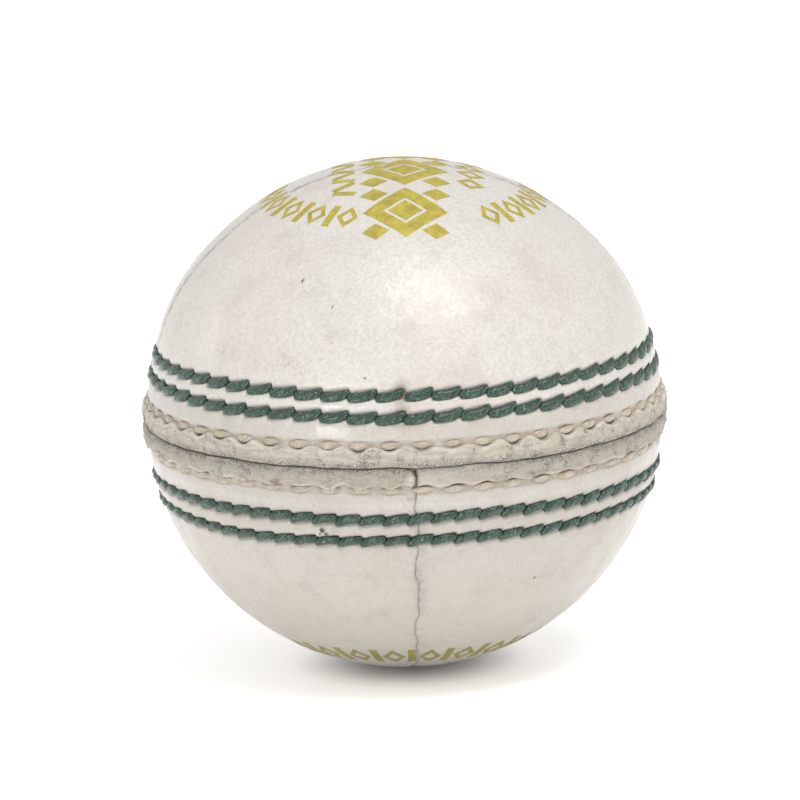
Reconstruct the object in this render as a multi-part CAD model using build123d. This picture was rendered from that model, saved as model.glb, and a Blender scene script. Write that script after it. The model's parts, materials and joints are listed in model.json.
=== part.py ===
from build123d import *
import os
from math import asin, cos, degrees, pi, radians, sin, sqrt

# A four-piece cricket ball. Millimetres and degrees.
# Origin: the ball's centre. XY: the plane of the main seam. +Z: the pole of the upper cup.
# -Y: the front, where the quarter seam of the lower cup meets the main seam.
# Both halves are built the same way up, and the lower one is then turned over about X.

# ---- Driving dimensions -------------------------------------------------------------------

# Cover: two cups of thick leather, each of two quarters
cup_radius = 36.0  # outside of the leather, on the sphere that a cup follows
cup_offset = 0.35  # that sphere's centre lies this far beyond the seam plane
leather_thickness = 3.0
parting_gap = 0.1  # between the cups, and between the two quarters of a cup
upper_seam_lean = 2.4  # the upper quarter seam leans towards the front
upper_seam_turn = 5.0  # its right end lies this far behind +X
lower_seam_turn = 2.0  # the lower quarter seam meets the front this far right of -Y

# Lips: the raised edges of the cups, on both sides of the main seam
lip_crest_radius = 36.45
lip_crest_height = 1.25
lip_round = 1.2
crease_round = 0.55  # the hollow between the two lips
crease_out = 0.1  # centre of that hollow, outside the cup's radius

# Decorative rows, sewn through each cup: height above the seam plane, stitches all round
upper_rows = {"inner_row": (6.95, 56), "outer_row": (9.9, 56)}
lower_rows = {"inner_row": (7.5, 66), "outer_row": (10.8, 66)}
row_groove_half_width = 1.05
row_groove_depth = 1.2
row_slant = 12.0
hole_radius = 0.92

# A stitch: an arched length of thread with a thin leg down the hole at each end
thread_radius = 0.5
leg_radius = 0.3
stitch_rise = 0.35  # the arch's middle above the leather
stitch_sink = 0.55  # its ends below the leather
stitch_inset = 0.4  # each end stops this far short of the middle of its hole

# The thread inside each cup that locks a decorative row
backing_radius = 0.3
backing_groove_radius = 0.4
backing_depth = 0.4  # below the surface of the wound core

# Stitches that close the main seam: they go straight through both lips
closing_count = 52
closing_radius = 34.85  # of the circle of holes
closing_floor = 2.3  # height of the notch's floor behind the lip
closing_notch_depth = 0.95  # from the circle of holes inwards
closing_notch_top = 4.2
closing_notch_flare = 1.7  # the notch's back wall leans out by this much towards its top
closing_hole_radius = 0.87
closing_thread_radius = 0.45
closing_inset = 0.36
closing_lift = 0.42  # the arch's ends above the notch's floor
closing_rise = 1.3  # its middle above the floor, on the slant

# Quarter seams: hidden stitches, and a strip of lining glued over them
strip_thickness = 0.5
strip_width = 12.0
strip_end_height = 13.0
hidden_groove_radius = 1.3
hidden_stitch_radius = 0.35
hidden_stitch_length = 1.3
hidden_stitch_lift = 0.45
hidden_stitch_slant = 25.0
hidden_stitch_step = 5.0
hidden_stitch_half_count = 12  # on each side of the pole

# Core: a cork ball wound with wool, with cork wafers between the windings
nucleus_radius = 13.0
winding_thickness = 2.4
cork_thickness = 2.0
cork_layer_count = 4
wafers_in_layer = 8
wafer_gap = 0.4
wafer_end_radius = 1.2  # the wafers stop this far from their own axis

clearance = 0.05  # between layers, so that no two faces share a place
big = 100.0  # larger than the ball
beyond = 1.0  # cutters reach this far past what they cut

inner_radius = cup_radius - leather_thickness
turn_over = Rot(180, 0, 0)

# ---- Helpers ------------------------------------------------------------------------------


def disc(radius, x=0.0, z=0.0):
    """A full disc in the XZ plane."""
    return Plane.XZ * Pos(x, z) * Circle(radius)


def spin(section, from_x=0.0, from_z=-big / 2, angle=360.0):
    """Turn about Z the part of an XZ section that lies right of one line and above another."""
    window = Plane.XZ * Pos(from_x + big / 2, from_z + big / 2) * Rectangle(big, big)
    return revolve(section & window, Axis.Z, revolution_arc=angle)


def on_cup(height, depth=0.0):
    """X and Z of the point that lies a depth under the leather's surface at a height."""
    rise = height + cup_offset
    run = sqrt(cup_radius**2 - rise**2)
    keep = (cup_radius - depth) / cup_radius
    return run * keep, rise * keep - cup_offset


def frame_at(x, z, outward_angle, turn):
    """A place on the ball: its x runs along the row, its y to the pole, its z outwards."""
    outward = (cos(radians(outward_angle)), 0, sin(radians(outward_angle)))
    plane = Plane(origin=(x, 0, z), x_dir=(0, 1, 0), z_dir=outward)
    return Rot(0, 0, turn) * plane.location


def save(name, *solids):
    """Write one sub-part, which may be a group of separate solids."""
    shape = solids[0] if len(solids) == 1 else Compound(children=list(solids))
    shape.label = name
    export_step(shape, "parts/" + name + ".step")


# ---- Stitching ----------------------------------------------------------------------------


def hole_turns(count):
    """The turn about Z of each hole of a row. The first hole is on the front."""
    return [-90 + 360 * i / count for i in range(count)]


def stitch_turns(count):
    """The turn about Z of the middle of each stitch, half way between two holes."""
    return [turn + 180 / count for turn in hole_turns(count)]


def stitch(reach, radius, start, rise, leg_length, leg_tilt=0.0):
    """A thread arched along x from one height to another, with a leg under each end."""
    arch = ThreePointArc((-reach, 0, start), (0, 0, rise), (reach, 0, start))
    body = sweep(Plane(origin=arch @ 0, z_dir=arch % 0) * Circle(radius), path=arch)
    leg = Cylinder(leg_radius, leg_length, align=(Align.CENTER, Align.CENTER, Align.MIN))
    for side in (-1, 1):
        body += Pos(side * reach, 0, start) * Rot(180 + leg_tilt, 0, 0) * leg
    return body


def row_angle(height):
    """How far the leather's outward direction at a height is above level."""
    return degrees(asin((height + cup_offset) / cup_radius))


def row_stitches(height, count):
    x, z = on_cup(height)
    reach = pi * x / count - stitch_inset
    leg_length = leather_thickness - stitch_sink
    piece = stitch(reach, thread_radius, -stitch_sink, stitch_rise, leg_length)
    piece = Rot(0, 0, row_slant) * piece
    return [frame_at(x, z, row_angle(height), turn) * piece for turn in stitch_turns(count)]


def row_holes(height, count):
    x, z = on_cup(height)
    hole = Cylinder(hole_radius, 3 * leather_thickness)
    return [frame_at(x, z, row_angle(height), turn) * hole for turn in hole_turns(count)]


def backing_ring(height, radius):
    """The inner thread of a row, in a groove round the wound core."""
    x, z = on_cup(height, leather_thickness + backing_depth)
    return Pos(0, 0, z) * Torus(x, radius)


def closing_stitches():
    """The stitches of one cup's lip. Their legs meet the other cup's at the seam plane."""
    reach = pi * closing_radius / closing_count - closing_inset
    leg_length = closing_floor + closing_lift * sin(radians(45)) - parting_gap
    piece = stitch(reach, closing_thread_radius, closing_lift, closing_rise, leg_length, -45)
    turns = stitch_turns(closing_count)
    return [frame_at(closing_radius, closing_floor, 45, turn) * piece for turn in turns]


def closing_holes():
    hole = Cylinder(closing_hole_radius, 2 * closing_floor + closing_lift)
    return [Rot(0, 0, turn) * Pos(closing_radius, 0, 0) * hole for turn in hole_turns(closing_count)]


# ---- Cover --------------------------------------------------------------------------------


def row_groove(height):
    """Section of the groove that a decorative row is pulled into, with a floor of even depth."""
    centre = Plane.XZ * Pos(0, -cup_offset) * Rot(0, 0, row_angle(height))
    band = centre * Pos(cup_radius, 0) * Rectangle(4 * row_groove_depth, 2 * row_groove_half_width)
    return band - disc(cup_radius - row_groove_depth, z=-cup_offset)


def closing_notch():
    """Section of the notch behind the lip, with a level floor that the holes go through."""
    inner = closing_radius - closing_notch_depth
    outer = cup_radius + beyond
    corners = [(inner, closing_floor), (outer, closing_floor), (outer, closing_notch_top)]
    corners += [(inner + closing_notch_flare, closing_notch_top), (inner, closing_floor + closing_notch_depth)]
    return Plane.XZ * Polygon(*corners, align=None)


def seam_lining(seam, first, last):
    """A band on both sides of a quarter seam, between two radii, that ends above the rows."""
    shell = Pos(0, 0, -cup_offset) * (Sphere(last) - Sphere(first))
    band = seam * Pos(0, 0, big / 2) * Box(big, strip_width, big)
    above = Pos(0, 0, strip_end_height + big / 2) * Box(big, big, big)
    return shell & band & above


def cup(rows, seam):
    """A whole cup, with everything that is cut into it before it is parted in two."""
    section = disc(cup_radius, z=-cup_offset)
    section += disc(lip_round, lip_crest_radius - lip_round, lip_crest_height)
    section -= disc(inner_radius, z=-cup_offset)
    section -= disc(crease_round, cup_radius + crease_out)
    section -= closing_notch()
    for height, _ in rows.values():
        section -= row_groove(height)
    body = spin(section, from_z=parting_gap / 2)
    holes = closing_holes()
    for height, count in rows.values():
        holes += row_holes(height, count)
    body -= holes
    body -= seam_lining(seam, inner_radius - beyond, inner_radius + strip_thickness)
    above = Pos(0, 0, strip_end_height + big / 2) * Box(big, big, big)
    upright = seam * Rot(90, 0, 0)
    body -= upright * Torus(inner_radius + strip_thickness, hidden_groove_radius) & above
    return body


def quarters(body, seam, across):
    """The two quarters of a cup, in order along an axis."""
    return (body - seam * Box(big, parting_gap, big)).solids().sort_by(across)


def hidden_stitches(seam):
    """Short slanting stitches that join two quarters from the inside, under the lining."""
    bar = Rot(90, 0, 0) * Cylinder(hidden_stitch_radius, hidden_stitch_length)
    for side in (-1, 1):
        bar += Pos(0, side * hidden_stitch_length / 2, 0) * Sphere(hidden_stitch_radius)
    reach = inner_radius + strip_thickness + hidden_stitch_lift
    bar = Pos(0, 0, reach) * Rot(0, 0, hidden_stitch_slant) * bar
    steps = range(-hidden_stitch_half_count, hidden_stitch_half_count + 1)
    return [seam * Rot(0, hidden_stitch_step * i, 0) * bar for i in steps]


def lining_strip(seam):
    return seam_lining(seam, inner_radius + clearance, inner_radius + strip_thickness - clearance)


# ---- Core ---------------------------------------------------------------------------------


def shell(inner, outer):
    """A hollow ball of yarn that fills the space between two radii."""
    return spin(disc(outer) - disc(inner))


def cork_wafers(inner, outer, tilt):
    """Leaf-shaped wafers that cover a sphere, all with their tips on one tilted axis."""
    step = 360 / wafers_in_layer
    leaf = spin(disc(outer) - disc(inner), wafer_end_radius, angle=step - degrees(wafer_gap / outer))
    return [Rot(tilt, 0, 0) * Rot(0, 0, step * i) * leaf for i in range(wafers_in_layer)]


def outer_winding(inner, rows_of_both):
    """The last winding fills the two cups, and the backing threads lie in its grooves."""
    outer = inner_radius - clearance
    body = spin(disc(outer, z=-cup_offset) & disc(outer, z=cup_offset)) - Sphere(inner)
    for rows, place in rows_of_both:
        for height, _ in rows.values():
            body -= place * backing_ring(height, backing_groove_radius)
    return body


# ---- Make every sub-part ------------------------------------------------------------------

os.makedirs("parts", exist_ok=True)

no_turn = Rot(0, 0, 0)
seam_centre = Pos(0, 0, -cup_offset)
upper_seam = seam_centre * Rot(0, 0, upper_seam_turn) * Rot(upper_seam_lean, 0, 0)
lower_seam = seam_centre * Rot(0, 0, 90 - lower_seam_turn)

save("cork_nucleus", Sphere(nucleus_radius))
radius = nucleus_radius
for layer in range(1, cork_layer_count + 1):
    save(f"winding_layer_{layer}", shell(radius + clearance, radius + winding_thickness))
    radius += winding_thickness
    tilt = 90 * (layer % 2)
    wafers = cork_wafers(radius + clearance, radius + cork_thickness, tilt)
    save(f"cork_layer_{layer}", *wafers)
    radius += cork_thickness
both_rows = [(upper_rows, no_turn), (lower_rows, turn_over)]
save(f"winding_layer_{cork_layer_count + 1}", outer_winding(radius + clearance, both_rows))

halves = [
    ("upper", no_turn, upper_rows, upper_seam, Axis.Y, ("front", "back")),
    ("lower", turn_over, lower_rows, lower_seam, Axis.X, ("left", "right")),
]
for half, place, rows, seam, across, sides in halves:
    for side, quarter in zip(sides, quarters(cup(rows, seam), seam, across)):
        save(f"{half}_{side}_quarter", place * quarter)
    save(f"{half}_lining_strip", place * lining_strip(seam))
    save(f"{half}_quarter_seam_stitches", *[place * s for s in hidden_stitches(seam)])
    save(f"{half}_closing_stitches", *[place * s for s in closing_stitches()])
    for row, (height, count) in rows.items():
        save(f"{half}_{row}_stitches", *[place * s for s in row_stitches(height, count)])
        save(f"{half}_{row}_backing_thread", place * backing_ring(height, backing_radius))
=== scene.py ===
import json
import math
import random

import bpy
import numpy as np
from mathutils import Matrix, Vector, noise

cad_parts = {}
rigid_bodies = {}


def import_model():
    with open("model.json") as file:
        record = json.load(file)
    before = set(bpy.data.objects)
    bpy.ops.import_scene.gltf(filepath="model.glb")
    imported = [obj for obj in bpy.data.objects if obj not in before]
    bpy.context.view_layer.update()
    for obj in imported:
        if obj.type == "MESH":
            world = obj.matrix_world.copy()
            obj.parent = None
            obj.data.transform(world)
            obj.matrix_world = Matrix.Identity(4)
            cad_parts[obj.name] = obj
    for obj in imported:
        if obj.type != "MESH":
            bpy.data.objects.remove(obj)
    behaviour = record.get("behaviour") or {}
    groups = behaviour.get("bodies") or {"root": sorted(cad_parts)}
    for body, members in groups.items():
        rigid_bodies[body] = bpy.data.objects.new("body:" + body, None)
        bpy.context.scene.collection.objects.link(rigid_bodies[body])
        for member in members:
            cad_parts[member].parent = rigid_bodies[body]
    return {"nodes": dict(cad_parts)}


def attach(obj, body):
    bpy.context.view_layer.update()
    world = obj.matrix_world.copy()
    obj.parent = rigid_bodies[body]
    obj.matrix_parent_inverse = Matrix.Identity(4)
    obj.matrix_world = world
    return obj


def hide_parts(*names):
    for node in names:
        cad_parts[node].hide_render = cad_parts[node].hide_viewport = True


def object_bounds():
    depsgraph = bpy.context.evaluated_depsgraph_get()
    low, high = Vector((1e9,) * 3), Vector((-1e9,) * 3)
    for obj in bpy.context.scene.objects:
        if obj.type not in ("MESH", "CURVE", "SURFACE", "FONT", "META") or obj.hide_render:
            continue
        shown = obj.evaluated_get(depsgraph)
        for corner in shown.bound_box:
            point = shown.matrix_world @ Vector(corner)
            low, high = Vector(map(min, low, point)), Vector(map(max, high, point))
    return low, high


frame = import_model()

# The looks of a stitched leather cricket ball, built around its CAD frame.
# The shape of the leather and the stitches is worked out in millimetres and put into the
# meshes in metres. +Z is the pole of the upper cup and -Y is the front.

bl_info = {
    "name": "Cricket ball",
    "version": (1, 0, 0),
    "blender": (4, 5, 0),
    "location": "View3D > Sidebar > Cricket Ball",
    "description": "Makes the leather, the stitching, the foil marks and the stage of a ball",
    "category": "Object",
}

MM = 0.001
CAD_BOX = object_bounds()
POLE_HEIGHT = CAD_BOX[1].z / MM
FRONT = -math.pi / 2  # azimuth of -Y

# Rows of green stitches, as in the CAD: millimetres above the seam plane, number of stitches
ROWS = {
    "upper_outer_row": (9.9, 56),
    "upper_inner_row": (6.95, 56),
    "lower_inner_row": (-7.5, 66),
    "lower_outer_row": (-10.8, 66),
}

# Stitches that close the main seam: how many, and how far from the seam plane in each half
CLOSING_COUNT = 52
CLOSING_HEIGHT = {"upper": 3.06, "lower": -3.20}

# The upper quarter seam leans to the front and its right end lies behind +X. The lower one
# meets the front to the right of -Y.
UPPER_SEAM_LEAN = math.radians(2.4)
UPPER_SEAM_TURN = math.radians(5.0)
LOWER_SEAM_TURN = math.radians(2.0)
MAIN_SEAM_GAP = 0.05  # half of the gap between the cups
LIP_REACH = 4.6  # the lip and the crease behind it end at this height

# Specks of grit stuck to the leather: where, and how wide
BLOTS = (
    (-12.0, -33.4, -9.3, 0.44), (-11.5, -33.5, -9.9, 0.30), (-12.4, -33.2, -9.9, 0.20),
    (-5.3, -33.5, 12.2, 0.16), (3.1, -35.3, -6.0, 0.13), (21.5, -28.7, -3.2, 0.15),
    (7.0, -26.0, -24.0, 0.14), (17.4, -26.0, -18.4, 0.2), (-13.5, -23.5, 24.0, 0.18),
    (-9.5, -28.0, 21.0, 0.12), (14.5, -31.8, -10.0, 0.12), (26.0, -23.0, 9.0, 0.12),
    (-24.0, -26.0, 6.3, 0.12),
)

# Lights: name, place, width, height, watts, and whether it shows only as a reflection
LIGHTS = (
    ("key_softbox", (0.25, -0.39, 1.09), 0.60, 0.60, 8.4, False),
    ("fill_left", (-0.75, -1.20, 0.05), 0.24, 0.26, 2.6, False),
    ("strip_left", (-1.25, 0.45, 0.45), 0.24, 0.50, 0.8, False),
    ("window_left", (-0.76, -1.20, 0.145), 0.30, 0.15, 3.0, True),
)
WORLD_STRENGTH = 0.72
CAMERA_SHIFT = (-0.62 * MM, 1.65 * MM)  # what the camera looks at, right of and above the centre


# ---- Settings -----------------------------------------------------------------------------


def length(name, description, default):
    return bpy.props.FloatProperty(
        name=name, description=description, default=default, unit="LENGTH", subtype="DISTANCE")


def angle(name, description, degrees):
    return bpy.props.FloatProperty(
        name=name, description=description, default=math.radians(degrees), unit="ROTATION",
        subtype="ANGLE")


def paint(name, description, default):
    return bpy.props.FloatVectorProperty(
        name=name, description=description, default=default, size=3, min=0, max=1,
        subtype="COLOR")


class CoverSettings(bpy.types.PropertyGroup):
    """Sizes and colours of the leather cover."""

    radius: length("Cup radius", "Radius of the sphere that each cup follows", 36.0 * MM)
    thickness: length("Leather thickness", "Thickness of the leather", 3.0 * MM)
    lip: length("Lip height", "How far the lips stand above the leather", 0.5 * MM)
    columns: bpy.props.IntProperty(
        name="Columns", description="Faces round half of the ball", default=560, min=60)
    colour: paint("Leather colour", "Clean lacquered leather", (0.635, 0.608, 0.563))
    lip_colour: paint("Lip colour", "Worn leather of the lips", (0.62, 0.56, 0.47))
    foil_colour: paint("Foil colour", "Stamped foil", (0.50, 0.42, 0.06))


class ThreadSettings(bpy.types.PropertyGroup):
    """Sizes and colours of the stitching."""

    radius: length("Row thread radius", "Half the width of a green stitch", 0.70 * MM)
    closing_radius: length(
        "Closing thread radius", "Half the width of a closing stitch", 0.58 * MM)
    slant: angle("Slant", "How far each green stitch leans across its row", 8.0)
    colour: paint("Row thread colour", "Green waxed thread", (0.029, 0.090, 0.055))
    closing_colour: paint(
        "Closing thread colour", "Cream thread beside the lips", (0.61, 0.55, 0.455))


class StageSettings(bpy.types.PropertyGroup):
    """The camera, the floor and the lights."""

    elevation: angle("Camera elevation", "Angle of the camera above the floor", 12.3)
    roll: angle("Camera roll", "Turn of the camera about its own line of sight", 1.63)
    distance: length("Camera distance", "From the camera to the ball", 1.5)
    frame_width: length("Frame width", "Width of what the camera sees at the ball", 111.7 * MM)
    floor_size: length("Floor size", "Side of the square floor", 8.0)


# ---- Small helpers ------------------------------------------------------------------------


def smooth(low, high, x):
    """0 below low, 1 above high, and an even S between them."""
    t = np.clip((x - low) / (high - low), 0.0, 1.0)
    return t * t * (3.0 - 2.0 * t)


def bell(x, width):
    return np.exp(-((x / width) ** 2))


def ring_wave(theta, low, high, seed):
    """A gentle wave round the ball, about -1 to 1, from a few harmonics with seeded phases."""
    draw = random.Random(seed)
    total = np.zeros_like(theta)
    count = 7
    for _ in range(count):
        turns = draw.randint(low, high)
        total = total + np.sin(turns * theta + draw.uniform(0, 2 * math.pi))
    return total / math.sqrt(count) * 0.8


def field(points, size, octaves=2, shift=0.0):
    """Smooth noise at each point, about -1 to 1. Points and feature size in millimetres."""
    move = Vector((shift, 1.7 * shift, -0.6 * shift))
    return np.array([noise.fractal(Vector(p) / size + move, 1.0, 2.0, octaves) for p in points])


def read_points(mesh):
    flat = np.empty(len(mesh.vertices) * 3)
    mesh.vertices.foreach_get("co", flat)
    return flat.reshape(-1, 3)


def write_points(mesh, points):
    mesh.vertices.foreach_set("co", np.ascontiguousarray(points).ravel())
    mesh.update()


def write_mask(mesh, name, values):
    """Stores a number for each vertex, which the materials read by name."""
    layer = mesh.attributes.new(name, "FLOAT", "POINT")
    layer.data.foreach_set("value", np.clip(values, 0.0, 1.0).astype(np.float32))


def nothing_selected():
    if bpy.context.object and bpy.context.object.mode != "OBJECT":
        bpy.ops.object.mode_set(mode="OBJECT")
    bpy.ops.object.select_all(action="DESELECT")


def select_only(obj):
    nothing_selected()
    bpy.context.view_layer.objects.active = obj
    obj.select_set(True)


def edit(obj):
    """Enters edit mode on one object, with all of it selected."""
    select_only(obj)
    bpy.ops.object.mode_set(mode="EDIT")
    bpy.ops.mesh.select_mode(type="VERT")
    bpy.ops.mesh.select_all(action="SELECT")


def select_edges(obj, test):
    """Selects in edit mode the edges whose two ends both pass a test of their place."""
    bpy.ops.mesh.select_all(action="DESELECT")
    bpy.ops.object.mode_set(mode="OBJECT")
    mesh = obj.data
    for vertex in mesh.vertices:
        vertex.select = False
    for edge in mesh.edges:
        edge.select = all(test(mesh.vertices[i].co) for i in edge.vertices)
        if edge.select:
            for i in edge.vertices:
                mesh.vertices[i].select = True
    bpy.ops.object.mode_set(mode="EDIT")


def finish_piece(obj, slot, *nodes):
    """Every visible piece rides on the one body, and the CAD nodes that it stands for are hidden.
    """
    nothing_selected()
    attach(obj, "root")
    if nodes:
        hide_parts(*nodes)


# ---- Shape of the leather -----------------------------------------------------------------


def row_line(theta, node):
    """The height of a stitched row at an azimuth: not quite level, as it is sewn by eye."""
    return ROWS[node][0] + 0.16 * ring_wave(theta, 2, 9, node)


def phase(theta, count):
    """Where an azimuth lies along its stitch, from -0.5 at one hole to 0.5 at the next."""
    place = (theta - FRONT) * count / (2 * math.pi)
    return place - np.floor(place) - 0.5


def row_relief(theta, z, node, slant):
    """How far the leather is drawn in under a row, from 0 to 1 in the groove and at the holes."""
    count = ROWS[node][1]
    line = row_line(theta, node)
    pitch = 2 * math.pi * 35.0 / count
    groove = np.zeros_like(theta)
    holes = np.zeros_like(theta)
    here = phase(theta, count)
    for step in (-1, 0, 1):
        along = (here - step) * pitch
        across = z - line - math.tan(slant) * along
        inside = 1.0 - smooth(0.46, 0.60, np.abs(here - step))
        groove = np.maximum(groove, inside * np.exp(-np.abs(across / 0.74) ** 4))
        reach = np.hypot(along - pitch / 2, z - line)
        holes = np.maximum(holes, bell(reach, 0.60))
    return groove, holes, np.abs(z - line)


def lip_shape(theta, height, amount, lobe, seed):
    """Relief of a lip against height above the seam, with its scalloped edge, and its masks.

    lobe is how far the edge reaches over each closing stitch, or draws back from it if below 0.
    """
    bead = np.cos(2 * math.pi * phase(theta, CLOSING_COUNT))
    uneven = ring_wave(theta, 11, 60, seed)
    edge = 2.84 + (lobe + 0.12 * ring_wave(theta, 4, 30, seed + 5)) * bead + 0.15 * uneven
    top = amount * (1.0 + 0.14 * ring_wave(theta, 3, 25, seed + 1))
    far = 3.62 + 0.10 * ring_wave(theta, 5, 30, seed + 2)
    crown = np.sqrt(np.clip(1.0 - (np.clip(0.42 - height, 0, 0.42) / 0.42) ** 2, 0, 1))
    profile = -0.05 + (top + 0.05) * crown
    hump = 0.08 * bell(height - 1.5, 0.9)
    floor = -0.26 - 0.10 * bead
    relief = (profile + hump) + (floor - profile - hump) * smooth(edge - 0.30, edge + 0.06, height)
    relief = relief * (1.0 - smooth(far - 0.25, far + 0.35, height))
    lip = 1.0 - smooth(edge - 0.25, edge + 0.05, height)
    # Painted highlight along the lip's edge
    rim = bell(height - edge + 0.34, 0.26)
    # Brown dirt and painted shade in the crease behind the lip's edge
    crease = smooth(edge - 0.24, edge + 0.02, height)
    crease = crease * (1.0 - smooth(edge + 0.10, far + 0.30, height))
    return relief, lip, crease, rim


def half_bowl(name, start, radius, offset, thickness, columns):
    """Half of a cup as a closed shell: a section spun through half a turn and capped."""
    inner = radius - thickness
    steps = []
    angle = math.acos((MAIN_SEAM_GAP + offset) / radius)
    while angle > 0.012:
        height = radius * math.cos(angle) - offset
        steps.append((radius * math.sin(angle), height))
        if height < 4.2:  # lip and crease
            step = 0.13
        elif height < 12.6:  # green rows
            step = 0.2
        else:
            step = 0.2 + 0.028 * (height - 12.6)
        angle -= step / radius
    section = [(0.0, radius - offset)] + steps[::-1]
    inner_low = math.acos((MAIN_SEAM_GAP + offset) / inner)
    rows_inside = 10
    for i in range(rows_inside):
        angle = inner_low * (1 - i / rows_inside)
        section.append((inner * math.sin(angle), inner * math.cos(angle) - offset))
    section.append((0.0, inner - offset))

    nothing_selected()
    bpy.ops.mesh.primitive_circle_add(vertices=len(section), radius=radius, fill_type="NOTHING")
    obj = bpy.context.object
    obj.name = obj.data.name = name
    turned = [(x * math.cos(start), x * math.sin(start), z) for x, z in section]
    write_points(obj.data, np.array(turned))
    edit(obj)
    select_edges(obj, lambda co: math.hypot(co.x, co.y) < 1e-6)
    bpy.ops.mesh.select_mode(type="EDGE")
    bpy.ops.mesh.delete(type="EDGE")
    bpy.ops.mesh.select_mode(type="VERT")
    bpy.ops.object.mode_set(mode="OBJECT")
    modifier = obj.modifiers.new("Half turn", "SCREW")
    modifier.axis = "Z"
    modifier.angle = math.pi
    modifier.steps = modifier.render_steps = columns
    bpy.ops.object.modifier_apply(modifier=modifier.name)
    edit(obj)
    bpy.ops.mesh.remove_doubles(threshold=1e-4)
    normal = Vector((-math.sin(start), math.cos(start), 0))
    select_edges(obj, lambda co: abs(co.dot(normal)) < 1e-4)
    bpy.ops.mesh.edge_face_add()
    bpy.ops.mesh.select_all(action="SELECT")
    bpy.ops.mesh.normals_make_consistent(inside=False)
    bpy.ops.object.mode_set(mode="OBJECT")
    return obj


def lean_quarter(points, seam_normal, offset):
    """Leans a quarter seam to the front, and settles the points back on their sphere."""
    level = np.array((seam_normal[0], seam_normal[1], 0.0))
    level /= np.linalg.norm(level)
    slope = seam_normal[2] / math.hypot(seam_normal[0], seam_normal[1])
    lean = (points[:, 2] + offset) * slope * bell(points @ level, 11.0)
    reach = np.linalg.norm(points + (0, 0, offset), axis=1)
    points = points - lean[:, None] * level
    moved = points + (0, 0, offset)
    moved *= (reach / np.maximum(np.linalg.norm(moved, axis=1), 1e-9))[:, None]
    return moved - (0, 0, offset)


def lip_of_half(half, points, theta, height, across_seam, top):
    """Relief and masks of a cup's lip. The lower one ends in a round tip at the front seam."""
    seed = 11 if half == "upper" else 23
    amount = np.full_like(theta, top)
    if half == "upper":
        return lip_shape(theta, height, amount, np.full_like(theta, -0.34), seed)
    front = points[:, 1] < 0
    right = smooth(-0.02, 0.02, across_seam) * front
    beyond = np.clip(across_seam, 0.0, 30.0)
    amount = amount * (1.0 - right * (0.30 + 0.50 * bell(beyond, 5.0)))
    amount = amount + 0.12 * (1.0 - right) * front * bell(across_seam, 4.0)
    relief, lip, crease, rim = lip_shape(theta, height, amount, 0.24 - 0.42 * right, seed)

    left = front & (across_seam < 0)
    near = np.clip(1.0 + across_seam / 1.25, 0.0, 1.0)
    width = 1.40 * np.sqrt(np.clip(1.0 - near**2, 0.0, 1.0))
    tip = 1.0 - smooth(width - 0.12, width + 0.12, np.abs(height - 1.55))
    tip = np.where(left & (near > 0), tip, 1.0)
    low = np.minimum(relief, -0.24)
    relief = low + (relief - low) * tip
    # Dirt and painted shade round the tip
    crease = np.maximum(crease, (1.0 - tip) * (height < 3.2))
    # A painted highlight on the lower lip's round tip
    rim = np.maximum(rim, np.where(left, bell(across_seam + 0.75, 0.42), 0.0) * (height < 2.6))
    lip = lip * (1.0 - 0.55 * right * bell(beyond, 9.0))
    return relief, lip, crease, rim


def rows_of_half(half, theta, z, radius, slant):
    """Relief of the grooves and holes of a cup's two rows, their mask of painted shade in the
    grooves and holes, and their stain mask.
    """
    relief = np.zeros_like(theta)
    soil = np.zeros_like(theta)
    stain = np.zeros_like(theta)
    for node in ROWS:
        if not node.startswith(half):
            continue
        groove, holes, away = row_relief(theta, z, node, slant)
        relief = relief - 0.50 * groove - 0.24 * holes - 0.06 * bell(away, 1.7)
        # Painted shade in the grooves and at the holes
        soil = np.maximum(soil, np.maximum(0.75 * groove, holes))
        if half == "upper":  # a deeper, stained hole at the front, where the thread is joined
            across = (z - row_line(theta, node) - 0.25) * 0.8
            front = np.hypot((theta - FRONT) * radius + 0.5, across)
            relief = relief - 0.22 * bell(front, 0.55)
            stain = np.maximum(stain, bell(front, 1.05))
    between = bell(np.abs(z) - (8.4 if half == "upper" else 9.2), 0.8)
    return relief + 0.08 * between, soil, stain


def grit_mask(points, centre, radius):
    """1 at the specks of grit that are stuck to the leather, which stand on a cup's sphere."""
    blot = np.zeros(len(points))
    for x, y, level, size in BLOTS:
        spot = np.array((x, y, level))
        spot = spot / np.linalg.norm(spot - centre) * radius
        away = np.linalg.norm(points - spot, axis=1)
        blot = np.maximum(blot, 1.0 - smooth(0.6 * size, 1.15 * size, away))
    return blot


def grime_and_shade_mask(z):
    """How far the leather is yellowed and darkened, partly by soiling and partly as painted shade:
    most at the lower pole and by the lips.
    """
    height = np.abs(z)
    # Darker towards the lower pole and along the lower lip: partly soiling, partly painted shade.
    handled = 0.60 * smooth(-3.5, -7.0, z) + 0.40 * smooth(-14.0, -32.0, z)
    lower_lip = 0.62 * smooth(0.0, -0.3, z) * (1.0 - smooth(3.0, 8.0, height))
    above_lip = 0.40 * smooth(3.0, 3.8, z) * (1.0 - smooth(5.0, 8.0, z))
    return np.maximum(np.maximum(handled, lower_lip), above_lip)


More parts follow.
